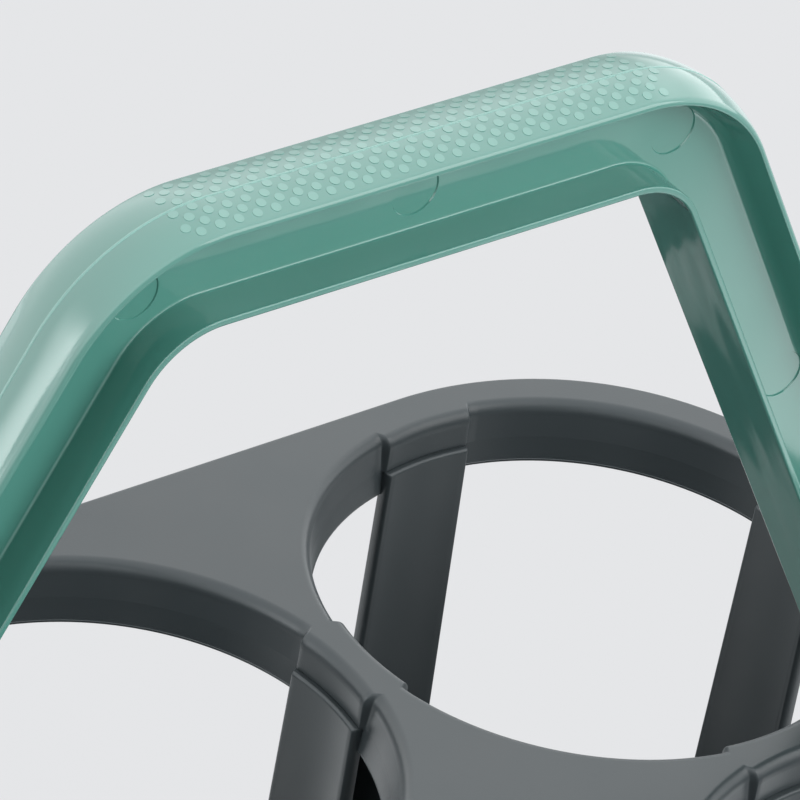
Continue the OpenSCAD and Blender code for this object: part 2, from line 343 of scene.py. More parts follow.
# Top plate and collars
grid = {"pitch": 100, "columns": {"left": -1, "middle": 0, "right": 1}, "rows": {"back": 1, "front": -1}}
plate = {
    "top": 185, "thick": 2.6, "margin": 55, "bulge": 0.6, "edgeRound": 0.8, "support": 0.1,
    "skirtDepth": 13, "skirtWall": 2, "skirtEdge": 0.5,
    "holeRadius": 47.6,
    # soft edge round each hole: (distance from the wall, depth)
    "rim": ((2.1, 0), (1.9, 0), (1.65, 0.03), (1.35, 0.12), (1.08, 0.28), (0.84, 0.48), (0.62, 0.71),
            (0.43, 0.96), (0.26, 1.25), (0.13, 1.58), (0.04, 1.95)),
}
pad = {
    "radius": 46.2, "halfWidth": 9.1, "edgeAt": 47, "blend": 0.5, "depth": 7,
    # lower edge: (distance into the wall, height)
    "lowEdge": ((0.03, 0.12), (0.15, 0)), "aboveEdge": 0.35,
}
collar = {
    "depth": 12, "lowRadius": 46.45, "outerRadius": 49.5, "edgeRound": 0.7,
    "levels": (4.5, 6.5),
    # lower outer edge: (distance in, height)
    "outerEdge": ((0.4, 0), (0.1, 0.1), (0, 0.4)),
}


def holeCentres():
    # each hole's name and place
    return [(f"{rowName}_{columnName}", column * grid["pitch"], row * grid["pitch"] / 2)
            for columnName, column in grid["columns"].items() for rowName, row in grid["rows"].items()]


def padEdge():
    # half of a pad's width, in degrees round its hole
    return degrees(asin(pad["halfWidth"] / pad["edgeAt"]))


def rimAngles(onPad=6, onBlend=4, beyond=15):
    edge, blend = padEdge(), pad["blend"]
    octant = [edge * k / onPad for k in range(onPad)]
    octant += [edge + blend * k / onBlend for k in range(-onBlend, onBlend + 1)]
    octant += [edge + blend + (45 - edge - blend) * k / beyond for k in range(1, beyond + 1)]
    corner = degrees(atan2(grid["pitch"] / 2, plate["margin"]))
    octant = [a for a in octant if a < corner - 0.4 or a > 44.99]  # none from the cell's corner up to 45
    octant.append(corner)
    quadrant = sorted(set([round(a, 6) for a in octant] + [round(90 - a, 6) for a in octant]))
    return [radians(a + 90 * q) for q in range(4) for a in quadrant[:-1]]


def padShare(angle):
    # 1 on a pad, 0 on the plain rim
    off = abs((degrees(angle) + 45) % 90 - 45)
    t = min(max((padEdge() + pad["blend"] - off) / (2 * pad["blend"]), 0), 1)
    return t * t * (3 - 2 * t)


def cellBorder(holeX, holeY, angle):
    # where the ray from a hole leaves its cell, and the outline's direction there
    c, s = cos(angle), sin(angle)
    half, margin = grid["pitch"] / 2, plate["margin"]
    outX, outY = holeX * c > 1e-9, holeY * s > 1e-9
    if outX and outY:
        margin += plate["bulge"] * 4 * c * c * s * s
        return Vector((margin * c, margin * s)), Vector((c, s))
    reachX, reachY = (margin if outX else half), (margin if outY else half)
    alongX = reachX / max(abs(c), 1e-12)
    alongY = reachY / max(abs(s), 1e-12)
    if abs(alongX - alongY) < 1e-4:
        point = Vector((copysign(reachX, c), copysign(reachY, s)))
    elif alongX < alongY:
        point = Vector((copysign(reachX, c), s * alongX))
        return point, Vector((copysign(1, c), 0)) if outX else None
    else:
        point = Vector((c * alongY, copysign(reachY, s)))
        return point, Vector((0, copysign(1, s))) if outY else None
    if outX:
        return point, Vector((copysign(1, c), 0))
    if outY:
        return point, Vector((0, copysign(1, s)))
    return point, None


def outerEdgeLine():
    # (distance in from the outline, depth): over the plate's edge, down the skirt and up its inner side
    size, wall, depth, low = (plate[k] for k in ("edgeRound", "skirtWall", "skirtDepth", "skirtEdge"))
    support, slant = plate["support"], low * 0.29
    line = [(size + support, 0)]
    for k in range(7):
        t = pi / 2 * k / 6
        line.append((size * (1 - sin(t)), size * (1 - cos(t))))
    line += [(0, size + support), (0, depth - low - support / 2), (0, depth - low), (slant, depth - slant)]
    line += [(low, depth), (wall - low, depth), (wall - slant, depth - slant), (wall, depth - low)]
    return line + [(wall, depth - low - support / 2), (wall, plate["thick"])]


def plateShell(angles):
    verts, faces = [], []
    top, thick = plate["top"], plate["thick"]
    edgeLine = outerEdgeLine()
    for _, holeX, holeY in holeCentres():
        start, outer = len(verts), []
        for angle in angles:
            radius = plate["holeRadius"] + (pad["radius"] - plate["holeRadius"]) * padShare(angle)
            ray = Vector((cos(angle), sin(angle)))
            border, out = cellBorder(holeX, holeY, angle)
            topEnd = border - out * (plate["edgeRound"] + plate["support"]) if out else border
            lowEnd = border - out * plate["skirtWall"] if out else border
            line = [(topEnd, top)]
            line += [(ray * (radius + off), top - depth) for off, depth in plate["rim"]]
            line += [(ray * radius, top - thick), (lowEnd, top - thick)]
            verts += [(holeX + p.x, holeY + p.y, z) for p, z in line]
            outer.append((border, out))
        faces += stripFaces(len(line), len(angles), True, start)
        # the rounded outline and the skirt, only along the outside
        for here, following in zip(outer, outer[1:] + outer[:1]):
            if here[1] is None or following[1] is None:
                continue
            base = len(verts)
            for border, out in (here, following):
                verts += [(holeX + border.x - out.x * d, holeY + border.y - out.y * d, top - z)
                          for d, z in edgeLine]
            faces += stripFaces(len(edgeLine), 2, False, base)
    return verts, faces


def collarShell(holeX, holeY, angles):
    top, thick, outer = plate["top"], plate["thick"], collar["outerRadius"]
    depth, edge = collar["depth"], collar["edgeRound"]

    def wallRadius(d):
        drop = max(d - thick, 0) / (depth - thick)
        return plate["holeRadius"] + (collar["lowRadius"] - plate["holeRadius"]) * drop

    verts = []
    under = wallRadius(pad["depth"])
    for angle in angles:
        share = padShare(angle)
        line = [(wallRadius(d) + (pad["radius"] - wallRadius(d)) * share, d)
                for d in (thick, *collar["levels"], pad["depth"] - pad["aboveEdge"])]
        for into, up in pad["lowEdge"]:
            line.append((pad["radius"] * share + under * (1 - share) + into * share, pad["depth"] - up))
        line.append((under, pad["depth"] + 0.02))
        line.append((wallRadius(depth - edge - 0.1), depth - edge - 0.1))
        for k in range(5):
            t = pi / 2 * k / 4
            line.append((wallRadius(depth) + edge * (1 - cos(t)), depth - edge * (1 - sin(t))))
        line.append((wallRadius(depth) + edge + 0.08, depth))
        line += [(outer - off, depth - up) for off, up in collar["outerEdge"]] + [(outer, thick)]
        verts += [(holeX + cos(angle) * r, holeY + sin(angle) * r, top - d) for r, d in line]
    rows = len(line)
    faces = stripFaces(rows, len(angles), True)
    for c in range(len(angles)):
        n = (c + 1) % len(angles)
        faces.append((c * rows, c * rows + rows - 1, n * rows + rows - 1, n * rows))
    return verts, faces


angles = rimAngles()
addBodyPiece("plate_top", plateShell(angles), "top_plate")
for hole, holeX, holeY in holeCentres():
    addBodyPiece(f"collar_{hole}_skin", collarShell(holeX, holeY, angles), f"collar_{hole}")
print("top plate and collars ready")

# Straps
strap = {
    "face": 45.0, "thick": 2.5, "topHalf": 8.7, "footHalf": 11.2, "lean": 2,
    "topZ": 178, "footZ": 4.6, "edge": 0.6, "webThick": 2, "webTop": 173, "webEdge": 0.3,
    "faceSteps": 16, "edgeSteps": 8, "endSteps": 4,
}


def bandLoop(near, far, half, size):
    # outline of a band seen from above: two arcs round the hole's middle, joined by rounded long edges
    loop = []
    reach = asin((half - size) / strap["face"])
    for radius, way in ((near, -1), (far, 1)):
        for k in range(strap["faceSteps"] + 1):
            t = way * reach * (2 * k / strap["faceSteps"] - 1)
            loop.append((radius * cos(t), radius * sin(t)))
        turn = way * reach
        first, last = (near, far) if way < 0 else (far, near)
        middle = (first + last) / 2
        for k in range(1, strap["edgeSteps"]):
            t = pi * k / strap["edgeSteps"]
            across = middle + (first - middle) * cos(t)
            out = way * size * sin(t)
            loop.append((across * cos(turn) - out * sin(turn), across * sin(turn) + out * cos(turn)))
    return loop


def bandShell():
    # band that follows the hole's circle across its width and leans in towards its foot
    edge, low, high = strap["edge"], strap["footZ"], strap["topZ"]
    levels = [(0, 0, low), (0, 0, high - edge * 1.2)]
    for k in range(strap["endSteps"], -1, -1):
        t = pi / 2 * k / strap["endSteps"]
        inward = edge * (1 - sin(t))
        levels.append((inward, inward * 0.3, high - edge * (1 - cos(t))))
    verts = []
    for pinch, side, z in levels:
        share = (z - low) / (high - low)
        half = strap["footHalf"] + (strap["topHalf"] - strap["footHalf"]) * share - side
        near, far = strap["face"] + pinch, strap["face"] + strap["thick"] - pinch
        loop = bandLoop(near, far, half, edge - pinch * 0.6)
        shift = -strap["lean"] * (1 - share)
        verts += [(x + shift, y, z) for x, y in loop]
    count = len(loop)
    faces = []
    for r in range(len(levels) - 1):
        for c in range(count):
            n = (c + 1) % count
            faces.append((r * count + c, r * count + n, (r + 1) * count + n, (r + 1) * count + c))
    faces.append(tuple(reversed(range(count))))
    faces.append(tuple((len(levels) - 1) * count + c for c in range(count)))
    return verts, faces


def webShell():
    half = grid["pitch"] / 2 - strap["face"] - strap["thick"] / 2
    low, t = half + strap["lean"], strap["webThick"] / 2
    z0, z1 = strap["footZ"], strap["webTop"]
    return boxSolid([(-low, -t, z0), (low, -t, z0), (low, t, z0), (-low, t, z0),
                     (-half, -t, z1), (half, -t, z1), (half, t, z1), (-half, t, z1)], strap["webEdge"], 2)


def turnedAbout(shell, x, y, angle):
    turn = Matrix.Rotation(radians(angle), 4, "Z")
    return moved(shell, lambda v: turn @ v + Vector((x, y, 0)))


def outerStrap(name, column, row, angle):
    shell = turnedAbout(bandShell(), column * grid["pitch"], row * grid["pitch"] / 2, angle)
    addBodyPiece(name + "_band", shell, name)


def sharedStrap(name, x, y, angle):
    half = grid["pitch"] / 2
    bands = [moved(bandShell(), lambda v: v - Vector((half, 0, 0)))]
    bands.append(moved(bands[0], lambda v: Vector((-v.x, -v.y, v.z))))
    bands.append(webShell())
    shell = turnedAbout(joinShells(bands), x, y, angle)
    addBodyPiece(name + "_pair", shell, name)


for columnName, column in grid["columns"].items():
    outerStrap(f"strap_back_{columnName}", column, 1, 90)
    outerStrap(f"strap_front_{columnName}", column, -1, -90)
    sharedStrap(f"cross_strap_{columnName}", column * grid["pitch"], 0, 90)
for rowName, row in grid["rows"].items():
    outerStrap(f"strap_left_{rowName}", -1, row, 180)
    outerStrap(f"strap_right_{rowName}", 1, row, 0)
    sharedStrap(f"neck_strap_{rowName}_left", -grid["pitch"] / 2, row * grid["pitch"] / 2, 0)
    sharedStrap(f"neck_strap_{rowName}_right", grid["pitch"] / 2, row * grid["pitch"] / 2, 0)
print("straps ready")

# Base tray and cups
tray = {
    "margin": 52, "height": 20, "wall": 2.2, "floorZ": 2, "floorThick": 2.6, "edge": 0.6, "floorEdge": 0.4,
    "drainRadius": 12, "ventRadius": 4, "ventRing": 28, "vents": 8,
}
cup = {"radius": 44.6, "wall": 2, "height": 14, "openHalf": 10.3, "edge": 0.7}


def outlineLoop(margin, steps=24, holeLoop=False):
    loop = []
    for quarter, (sx, sy) in enumerate(((1, 1), (-1, 1), (-1, -1), (1, -1))):
        for k in range(steps + 1):
            t = pi / 2 * (quarter + k / steps)
            loop.append((sx * grid["pitch"] + margin * cos(t), sy * grid["pitch"] / 2 + margin * sin(t)))
    return loop[::-1] if holeLoop else loop


def trayShells():
    wall = flatSolid(outlineLoop(tray["margin"]), [outlineLoop(tray["margin"] - tray["wall"], 24, True)],
                     0, tray["height"], tray["edge"])
    holes = []
    for _, x, y in holeCentres():
        holes.append(circleLoop(x, y, tray["drainRadius"], 48, True))
        for i in range(tray["vents"]):
            t = 2 * pi * (i + 0.5) / tray["vents"]
            holes.append(circleLoop(x + tray["ventRing"] * cos(t), y + tray["ventRing"] * sin(t),
                                    tray["ventRadius"], 24, True))
    for x in (-grid["pitch"] / 2, grid["pitch"] / 2):
        holes.append(circleLoop(x, 0, tray["drainRadius"], 48, True))
    floor = flatSolid(outlineLoop(tray["margin"] - tray["wall"] / 2), holes,
                      tray["floorZ"], tray["floorZ"] + tray["floorThick"], tray["floorEdge"])
    return joinShells([wall, floor])


def cupShells(x, y):
    inner, outer, z = cup["radius"], cup["radius"] + cup["wall"], tray["floorZ"] + tray["floorThick"]
    arcs = []
    for quarter in range(4):
        loop = []
        for radius, way in ((outer, 1), (inner, -1)):
            gap = asin(cup["openHalf"] / radius)
            sweep = [gap + (pi / 2 - 2 * gap) * k / 20 for k in range(21)][::way]
            loop += [(x + radius * cos(t + quarter * pi / 2), y + radius * sin(t + quarter * pi / 2))
                     for t in sweep]
        arcs.append(flatSolid(loop, [], z, z + cup["height"], cup["edge"]))
    return joinShells(arcs)


addBodyPiece("tray_skin", trayShells(), "base_tray")
for hole, holeX, holeY in holeCentres():
    addBodyPiece(f"cup_{hole}_arcs", cupShells(holeX, holeY), f"cup_{hole}")
print("tray and cups ready")

# Handle
handle = {
    "top": 331.5,  # level of the crown's middle line, without the dots
    "raise": 0.2,  # the frame's outer face lies this much higher, over the dots
    "hingeZ": 193.6, "hingeX": 130.3, "legAngle": 29.1, "cornerRadius": 29.6,
    "cornerSteps": 34, "gripSteps": 20, "legSteps": 8,
    "crown": 1.5, "outerHalf": 7.2, "webHalf": 1.3,
    "beamShort": 12, "seamShort": 24,  # how far the beam and the parting line end before the hinge
}
# the parting line's section: (depth from the crown's face, half width)
seamRidge = ((-0.09, 0), (-0.086, 0.08), (-0.07, 0.15), (0, 0.23), (0.3, 0.23))


def handlePath():
    # numbers shared by all that lies along the handle's outer line
    lean, radius = radians(handle["legAngle"]), handle["cornerRadius"]
    top = handle["top"] + handle["raise"]
    half = handle["hingeX"] - (top - handle["hingeZ"]) * tan(lean)
    turn = pi / 2 - lean
    straight = half - radius * tan(turn / 2)
    return top, straight, turn, radius, lean


def alongHandle(a):
    # point of the outer line at the distance a from its middle, and the direction inwards
    top, straight, turn, radius, lean = handlePath()
    side = copysign(1, a)
    s = abs(a)
    if s <= straight:
        return Vector((side * s, 0, top)), Vector((0, 0, -1))
    swing = min((s - straight) / radius, turn)
    inwards = Vector((-side * sin(swing), 0, -cos(swing)))
    point = Vector((side * straight, 0, top - radius)) - inwards * radius
    rest = s - straight - radius * turn
    if rest > 0:
        point += Vector((side * sin(lean), 0, -cos(lean))) * rest
    return point, inwards


def crownDepth(y):
    return handle["raise"] + handle["crown"] * (y / handle["outerHalf"]) ** 2


def sectionHalf():
    # (depth, half width) from the crown's middle line to the middle of the inner face
    face = [(crownDepth(y), y) for y in (0, 0.9, 1.8, 2.7, 3.6, 4.5, 5.4, 5.9, 6.3)]
    lip = [(1.43, 6.55), (1.55, 6.76), (1.7, 6.94), (1.88, 7.08), (2.08, 7.17), (2.25, 7.2), (2.31, 7.2),
           (2.43, 7.16), (2.51, 7.05), (2.55, 6.9), (2.57, 6.83)]
    # the flange's inner side, with a fillet to the web
    under = [(3.58, 3.86), (3.62, 3.75), (3.82, 3.05), (4.1, 2.4), (4.42, 1.9), (4.8, 1.53), (5.15, 1.35),
             (5.5, 1.3), (5.6, 1.3)]
    web = [(9.5, 1.3), (14.8, 1.3), (14.92, 1.3), (15.1, 1.36), (15.24, 1.5), (15.3, 1.7), (15.3, 1.8)]
    flange = [(15.3, 7.6), (15.3, 7.68), (15.34, 7.86), (15.44, 7.96), (15.6, 8.0), (15.65, 8.0),
              (16.05, 8.0), (16.1, 8.0), (16.26, 7.96), (16.36, 7.86), (16.4, 7.7), (16.4, 7.6)]
    return face + lip + under + web + flange + [(16.4, 3), (16.4, 0)]


def sectionLoop():
    half = sectionHalf()
    return half + [(d, -y) for d, y in reversed(half[1:-1])]


def seamLoop():
    # the mould's parting line, a fine ridge along the crown
    half = [(crownDepth(0) + d, y) for d, y in seamRidge]
    return half + [(d, -y) for d, y in reversed(half[1:])]


def beamShell(loop, short):
    top, straight, turn, radius, lean = handlePath()
    legEnd = (handle["top"] - handle["hingeZ"]) / cos(lean)
    onGrip, onCorner, onLeg = handle["gripSteps"], handle["cornerSteps"], handle["legSteps"]
    stations = [straight * k / onGrip for k in range(onGrip)]
    stations += [straight + radius * turn * k / onCorner for k in range(onCorner + 1)]
    last = stations[-1]
    stations += [last + (legEnd - short) * k / onLeg for k in range(1, onLeg + 1)]
    stations = [-s for s in reversed(stations[1:])] + stations
    verts = []
    for a in stations:
        point, inwards = alongHandle(a)
        verts += [point + inwards * d + Vector((0, y, 0)) for d, y in loop]
    rows = len(loop)
    faces = []
    for c in range(len(stations) - 1):
        for r in range(rows):
            n = (r + 1) % rows
            faces.append((c * rows + r, c * rows + n, (c + 1) * rows + n, (c + 1) * rows + r))
    faces.append(tuple(range(rows)))
    faces.append(tuple(len(verts) - rows + r for r in reversed(range(rows))))
    return verts, faces


foot = {"radius": 7.5, "length": 14, "outX": 132.39, "bore": 3.1, "rise": 12, "edge": 0.8, "tipBore": 4.4}
footCutter = {"reach": 40, "low": 90, "high": 150, "edge": 0.01}


def alongX(shell, side=1):
    # a flat solid drawn in (y, z) with its thickness along x
    return moved(shell, lambda v: Vector((side * v.z, v.x, v.y)))


def tempObject(shell):
    return addPiece("temp", *shell, handlePlastic)


def carve(target, tool, how):
    change = target.modifiers.new("carve", "BOOLEAN")
    change.operation = how
    change.solver = "EXACT"
    change.object = tool
    bpy.context.view_layer.update()
    result = bpy.data.meshes.new_from_object(target.evaluated_get(bpy.context.evaluated_depsgraph_get()))
    target.modifiers.clear()
    old = target.data
    target.data = result
    bpy.data.meshes.remove(old)
    bpy.data.objects.remove(tool)


ejectorMarks = {
    "radius": 3.9, "taper": 0.12, "deep": 0.2, "proud": 0.3,
    "depth": 9, "places": (0, 52.7, 120.3),
}


def markTools():
    # shallow round pockets that the ejectors left in the front of the web
    tools = []
    size, taper, deep, proud = (ejectorMarks[k] for k in ("radius", "taper", "deep", "proud"))
    front = -handle["webHalf"]
    for place in ejectorMarks["places"]:
        for side in ((1, -1) if place else (1,)):
            point, inwards = alongHandle(place * side)
            middle = point + inwards * ejectorMarks["depth"]
            plug = turned([(front + deep, 0), (front + deep, size), (front, size + taper),
                           (front - proud, size + taper * 1.5), (front - proud, 0)], 72)
            tools.append(moved(plug, lambda v: Vector((middle.x + v.y, v.x, middle.z + v.z))))
    return joinShells(tools)


def makeHandle():
    bail = tempObject(beamShell(sectionLoop(), handle["beamShort"]))
    bail.name = "bail_beam"
    carve(bail, tempObject(markTools()), "DIFFERENCE")
    z, size, top = handle["hingeZ"], foot["radius"], handle["hingeZ"] + foot["rise"]
    out, reach, low, high = foot["outX"], footCutter["reach"], footCutter["low"], footCutter["high"]

    def shape(outline, start, end, side, how, edge=footCutter["edge"], steps=1):
        carve(bail, tempObject(alongX(flatSolid(outline, [], start, end, edge, steps), side)), how)

    under = [(size * cos(t), z + size * sin(t)) for t in [pi + pi * k / 32 for k in range(33)]]
    around = [(size * cos(t), z + size * sin(t)) for t in [-pi * k / 32 for k in range(1, 32)]]
    square = [(-reach, z - reach), (reach, z - reach), (reach, z + reach), (-reach, z + reach)]
    below = square[:2] + [(reach, z), (size, z)] + around + [(-size, z), (-reach, z)]
    for side in (1, -1):
        shape(under + [(size, top), (-size, top)], out - foot["length"], out, side, "UNION", foot["edge"], 4)
        # what hangs below the eye or stands out past it comes off, then the bore and its wider tip are cut
        shape(below, low, high, side, "DIFFERENCE")
        shape(square, out, high, side, "DIFFERENCE")
        shape(circleLoop(0, z, foot["bore"], 48), low, high, side, "DIFFERENCE")
        shape(circleLoop(0, z, foot["tipBore"], 48), low, out - foot["length"], side, "DIFFERENCE")
    return bail


bail = makeHandle()
print("handle shape ready")


# Grip dots: rows along the crown, made by Geometry Nodes
gripDots = {
    "Dot Pitch": 3.09 * mm, "Dot Diameter": 2.0 * mm, "Dot Height": 0.16 * mm,
    "Size Variation": 0.05, "Seed": 7,
}
# a dot's side in steps: (share of its height, how much the step's top is drawn in)
dotLevels = ((0.45, 0.99), (0.3, 0.96), (0.17, 0.91), (0.08, 0.82))
# side, distance from the middle line, first dot's place along the grip, number of dots
dotRows = (
    (-1, 0.95, -42.0, 28), (-1, 2.5, -40.45, 27), (-1, 3.95, -42.05, 27), (-1, 5.3, -40.45, 27),
    (1, 0.95, -40.0, 27), (1, 2.5, -41.65, 27), (1, 3.95, -40.0, 26), (1, 5.3, -41.65, 27),
)


def dotTree():
    tree = bpy.data.node_groups.new("gripDots", "GeometryNodeTree")
    face = tree.interface
    face.new_socket("Geometry", in_out="INPUT", socket_type="NodeSocketGeometry")
    for key in ("Dot Pitch", "Dot Diameter", "Dot Height", "Size Variation"):
        face.new_socket(key, in_out="INPUT", socket_type="NodeSocketFloat")
    face.new_socket("Seed", in_out="INPUT", socket_type="NodeSocketInt")
    face.new_socket("Finish", in_out="INPUT", socket_type="NodeSocketMaterial")
    face.new_socket("Geometry", in_out="OUTPUT", socket_type="NodeSocketGeometry")
    add, link = tree.nodes.new, tree.links.new
    given, result = add("NodeGroupInput"), add("NodeGroupOutput")

    def times(value, factor):
        return maths(tree, "MULTIPLY", value, factor)

    circle = add("GeometryNodeMeshCircle")
    circle.fill_type = "NGON"
    circle.inputs["Vertices"].default_value = 18
    link(times(given.outputs["Dot Diameter"], 0.5), circle.inputs["Radius"])
    solid = circle.outputs["Mesh"]
    for share, scale in dotLevels:
        rise = add("GeometryNodeExtrudeMesh")
        rise.inputs["Individual"].default_value = False
        link(solid, rise.inputs["Mesh"])
        # the dot starts a little under the surface, so its full height is 1.5 times the visible one
        link(times(given.outputs["Dot Height"], share * 1.5), rise.inputs["Offset Scale"])
        shrink = add("GeometryNodeScaleElements")
        link(rise.outputs["Mesh"], shrink.inputs["Geometry"])
        link(rise.outputs["Top"], shrink.inputs["Selection"])
        shrink.inputs["Scale"].default_value = scale
        solid = shrink.outputs["Geometry"]
    base = add("GeometryNodeFlipFaces")
    link(circle.outputs["Mesh"], base.inputs["Mesh"])
    whole = add("GeometryNodeJoinGeometry")
    link(solid, whole.inputs["Geometry"])
    link(base.outputs["Mesh"], whole.inputs["Geometry"])
    merge = add("GeometryNodeMergeByDistance")
    merge.inputs["Distance"].default_value = 0.001 * mm
    link(whole.outputs["Geometry"], merge.inputs["Geometry"])
    sink = add("GeometryNodeTransform")
    lower = add("ShaderNodeCombineXYZ")
    link(times(given.outputs["Dot Height"], -0.5), lower.inputs["Z"])
    link(merge.outputs["Geometry"], sink.inputs["Geometry"])
    link(lower.outputs["Vector"], sink.inputs["Translation"])

    rows = add("GeometryNodeMeshToCurve")
    link(given.outputs["Geometry"], rows.inputs["Mesh"])
    spaced = add("GeometryNodeResampleCurve")
    spaced.mode = "LENGTH"
    link(rows.outputs["Curve"], spaced.inputs["Curve"])
    # a hair under the pitch, so that no row loses its last dot
    link(times(given.outputs["Dot Pitch"], 0.985), spaced.inputs["Length"])
    upward = add("GeometryNodeInputNamedAttribute")
    upward.data_type = "FLOAT_VECTOR"
    upward.inputs["Name"].default_value = "surfaceNormal"
    aim = add("FunctionNodeAlignRotationToVector")
    aim.axis = "Z"
    link(upward.outputs["Attribute"], aim.inputs["Vector"])
    vary = add("FunctionNodeRandomValue")
    vary.data_type = "FLOAT"
    link(maths(tree, "SUBTRACT", 1, given.outputs["Size Variation"]), vary.inputs[2])
    vary.inputs[3].default_value = 1
    link(given.outputs["Seed"], vary.inputs["Seed"])
    dots = add("GeometryNodeInstanceOnPoints")
    link(spaced.outputs["Curve"], dots.inputs["Points"])
    link(sink.outputs["Geometry"], dots.inputs["Instance"])
    link(aim.outputs["Rotation"], dots.inputs["Rotation"])
    link(vary.outputs[1], dots.inputs["Scale"])
    real = add("GeometryNodeRealizeInstances")
    link(dots.outputs["Instances"], real.inputs["Geometry"])
    paint = add("GeometryNodeSetMaterial")
    link(real.outputs["Geometry"], paint.inputs["Geometry"])
    link(given.outputs["Finish"], paint.inputs["Material"])
    link(paint.outputs["Geometry"], result.inputs["Geometry"])
    return tree


def dotLines():
    # one fine line for each row of dots, on the crown, with the surface's direction at each point
    verts, edges, ups = [], [], []
    pitch = gripDots["Dot Pitch"] / mm
    for side, off, first, count in dotRows:
        length = pitch * (count - 1) * 1.0002
        steps = count * 4
        for k in range(steps + 1):
            point, inwards = alongHandle(first + length * k / steps)
            slope = 2 * handle["crown"] * side * off / handle["outerHalf"] ** 2
            verts.append((point + inwards * crownDepth(off) + Vector((0, side * off, 0))) * mm)
            ups.append((Vector((0, slope, 0)) - inwards).normalized())
            if k:
                edges.append((len(verts) - 2, len(verts) - 1))
    mesh = bpy.data.meshes.new("dotLines")
    mesh.from_pydata(verts, edges, [])
    direction = mesh.attributes.new("surfaceNormal", "FLOAT_VECTOR", "POINT")
    direction.data.foreach_set("vector", [n for up in ups for n in up])
    return mesh


def makeDots():
    lines = bpy.data.objects.new("dotLines", dotLines())
    bpy.context.scene.collection.objects.link(lines)
    tree = dotTree()
    nodesModifier = lines.modifiers.new("gripDots", "NODES")
    nodesModifier.node_group = tree
    for item in tree.interface.items_tree:
        if item.in_out == "INPUT" and item.name in gripDots:
            nodesModifier[item.identifier] = gripDots[item.name]
        elif item.in_out == "INPUT" and item.name == "Finish":
            nodesModifier[item.identifier] = dotPlastic
    bpy.context.view_layer.update()
    mesh = bpy.data.meshes.new_from_object(lines.evaluated_get(bpy.context.evaluated_depsgraph_get()))
    bpy.data.objects.remove(lines)
    mesh.name = "grip_dots"
    if not mesh.materials:
        mesh.materials.append(dotPlastic)
    smoothShade(mesh, 50)
    dots = bpy.data.objects.new("grip_dots", mesh)
    bpy.context.scene.collection.objects.link(dots)
    return dots


dots = makeDots()
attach(dots, "bail")
# the parting line's ridge, coloured with a painted highlight
seam = addPiece("bail_seam", *beamShell(seamLoop(), handle["seamShort"]), seamHighlightPlastic)
finishPiece(seam, "bail", "handle_plastic")
bail.data.name = "bail_beam"
smoothShade(bail.data)
finishPiece(bail, "bail", "handle_plastic", "handle")
print("handle ready:", len(dots.data.polygons), "faces of dots")

# Hinge: ears and pins
ear = {
    "x": 132.79, "thick": 5, "width": 24, "hingeUp": 8.6, "radius": 7.5, "bore": 3, "edge": 0.6,
    "footRound": (1.5, 2), "gussetLength": 10, "gussetThick": 3.25, "gussetRound": 0.6, "gussetEdge": 0.4,
    "overlap": 0.5,
}
pin = {
    "radius": 3, "headRadius": 5.5, "headThick": 2, "headRound": 0.9,
    "dimpleDepth": 0.5, "dimpleRadii": (1.6, 2.1), "barb": 0.6, "barbLength": 2.4, "gap": 0.4,
}


def earShells(side):
    low, half, size = plate["top"], ear["width"] / 2, ear["radius"]
    base, middle = low + ear["hingeUp"] - size / 2, low + ear["hingeUp"]
    arc = [(size * cos(t), middle + size * sin(t)) for t in [pi * k / 32 for k in range(33)]]
    left = roundedLoop([(-size, base), (-half, base), (-half, low)], [*ear["footRound"], 0])
    right = [(-y, z) for y, z in reversed([tuple(p) for p in left])]
    outline = right + [Vector(p) for p in arc] + left
    upright = flatSolid(outline, [circleLoop(0, middle, ear["bore"], 48, True)],
                        ear["x"], ear["x"] + ear["thick"], ear["edge"], 4)
    shells = [alongX(upright, side)]
    back, rounding = ear["x"] + ear["thick"] - ear["overlap"], ear["gussetRound"]
    corners = [(back, low), (back + ear["gussetLength"] + ear["overlap"], low), (back, base)]
    loop = roundedLoop(corners, [0, rounding, rounding])
    for way in (-1, 1):
        rib = flatSolid(loop, [], -ear["gussetThick"] / 2, ear["gussetThick"] / 2, ear["gussetEdge"])
        y = way * (ear["width"] - ear["gussetThick"]) / 2
        shells.append(moved(rib, lambda v: Vector((side * v.x, y + v.z, v.y))))
    return joinShells(shells)


def pinShell(side):
    z = plate["top"] + ear["hingeUp"]
    r, head, rounding, barb = pin["radius"], pin["headRadius"], pin["headRound"], pin["barb"]
    outer = ear["x"] + ear["thick"]
    cap = outer + pin["headThick"]
    inner = foot["outX"] - foot["length"] - pin["gap"]
    tip = inner - pin["barbLength"]
    dimple, (dimpleLow, dimpleTop) = cap - pin["dimpleDepth"], pin["dimpleRadii"]
    profile = [(dimple, 0), (dimple, dimpleLow), (cap, dimpleTop)]
    for k in range(7):
        t = pi / 2 * k / 6
        profile.append((cap - rounding * (1 - cos(t)), head - rounding + rounding * sin(t)))
    profile += [(outer + 0.2, head), (outer, head - 0.2), (outer, r), (inner, r), (inner, r + barb - 0.15),
                (inner - 0.15, r + barb), (tip + 0.4, r - barb + 0.2), (tip, r - barb - 0.3), (tip, 0)]
    return moved(turned(profile), lambda v: Vector((side * v.x, v.y, z + v.z)))


for sideName, side in (("left", -1), ("right", 1)):
    addBodyPiece(f"ear_{sideName}", earShells(side), f"hinge_ear_{sideName}")
    pinPiece = addPiece(f"pin_{sideName}", *pinShell(side), pinPlastic)
    finishPiece(pinPiece, "carrier", "pin_plastic", f"pivot_pin_{sideName}")
print("hinge ready")

